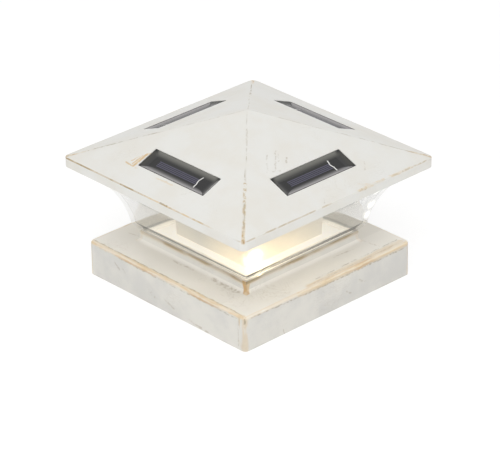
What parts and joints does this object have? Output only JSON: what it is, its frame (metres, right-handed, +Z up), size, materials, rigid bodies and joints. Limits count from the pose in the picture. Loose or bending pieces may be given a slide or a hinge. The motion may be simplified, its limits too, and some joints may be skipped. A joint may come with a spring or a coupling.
{
  "type": "deck post cap light",
  "caption": "Square cap light for a deck post: painted collar, clear flared shade and a low pyramid roof with solar windows, lamps and battery inside.",
  "frame": {"origin": "centre of the collar's lower rim", "axes": "+Z up through the roof's peak, +X and +Y square to the sides"},
  "size_m": [0.1528, 0.1528, 0.107],
  "materials": {
    "distressed_white": "satin off-white paint brushed tan and orange along its edges",
    "clear_shade": "clear moulded plastic",
    "seal": "pale translucent seal",
    "panel_black": "glossy black board",
    "solar_cell": "blue-violet cell strips",
    "tinned_ribbon": "tinned ribbon",
    "clear_resin": "clear poured resin",
    "housing_white": "white moulded plastic",
    "black_plastic": "fine grained black",
    "screw_steel": "zinc plated",
    "battery_sleeve": "shrink sleeve",
    "nickel_contact": "nickel plated",
    "board_green": "solder mask",
    "component_black": "moulded",
    "capacitor_can": "drawn can with a sleeve",
    "lamp_clear": "clear domed lamp, lit warm white",
    "lead_insulation": "thin insulated wire"
  },
  "bodies": {
    "base": {"base_collar": "distressed_white", "shade_bond": "seal", "lens_shade": "clear_shade"},
    "head": {"roof_gasket": "seal", "roof_cap": "distressed_white", "panel_board_right": "panel_black", "cell_strips_right": "solar_cell", "cell_ribbon_right": "tinned_ribbon", "resin_cover_right": "clear_resin", "panel_board_back": "panel_black", "cell_strips_back": "solar_cell", "cell_ribbon_back": "tinned_ribbon", "resin_cover_back": "clear_resin", "panel_board_left": "panel_black", "cell_strips_left": "solar_cell", "cell_ribbon_left": "tinned_ribbon", "resin_cover_left": "clear_resin", "panel_board_front": "panel_black", "cell_strips_front": "solar_cell", "cell_ribbon_front": "tinned_ribbon", "resin_cover_front": "clear_resin", "light_housing": "housing_white", "housing_floor": "housing_white", "housing_screws": "screw_steel", "board_screws": "screw_steel", "floor_screws": "screw_steel", "battery_holder": "black_plastic", "battery_cell": "battery_sleeve", "battery_button": "nickel_contact", "contact_plate": "nickel_contact", "contact_leaf": "nickel_contact", "switch_frame": "black_plastic", "circuit_board": "board_green", "charge_chip": "component_black", "storage_inductor": "component_black", "smoothing_capacitor": "capacitor_can", "lamp_right": "lamp_clear", "lamp_board_right": "board_green", "lamp_left": "lamp_clear", "lamp_board_left": "board_green", "panel_leads_right": "lead_insulation", "panel_leads_back": "lead_insulation", "panel_leads_left": "lead_insulation", "panel_leads_front": "lead_insulation", "lamp_leads_right": "lead_insulation", "lamp_leads_left": "lead_insulation", "battery_lead_plus": "lead_insulation", "battery_lead_minus": "lead_insulation"},
    "battery_door": {"battery_door": "housing_white"},
    "switch_slider": {"switch_slider": "black_plastic"}
  },
  "joints": [
    {"name": "head_lift", "type": "slide", "parent": "base", "child": "head", "axis": [0, 0, 1], "range_m": [0, 0.055]},
    {"name": "battery_door_hinge", "type": "hinge", "parent": "head", "child": "battery_door", "pos_m": [0, -0.016, 0.028], "axis": [-1, 0, 0], "range_deg": [0, 95]},
    {"name": "switch_slide", "type": "slide", "parent": "head", "child": "switch_slider", "axis": [1, 0, 0], "range_m": [0, 0.003]}
  ]
}
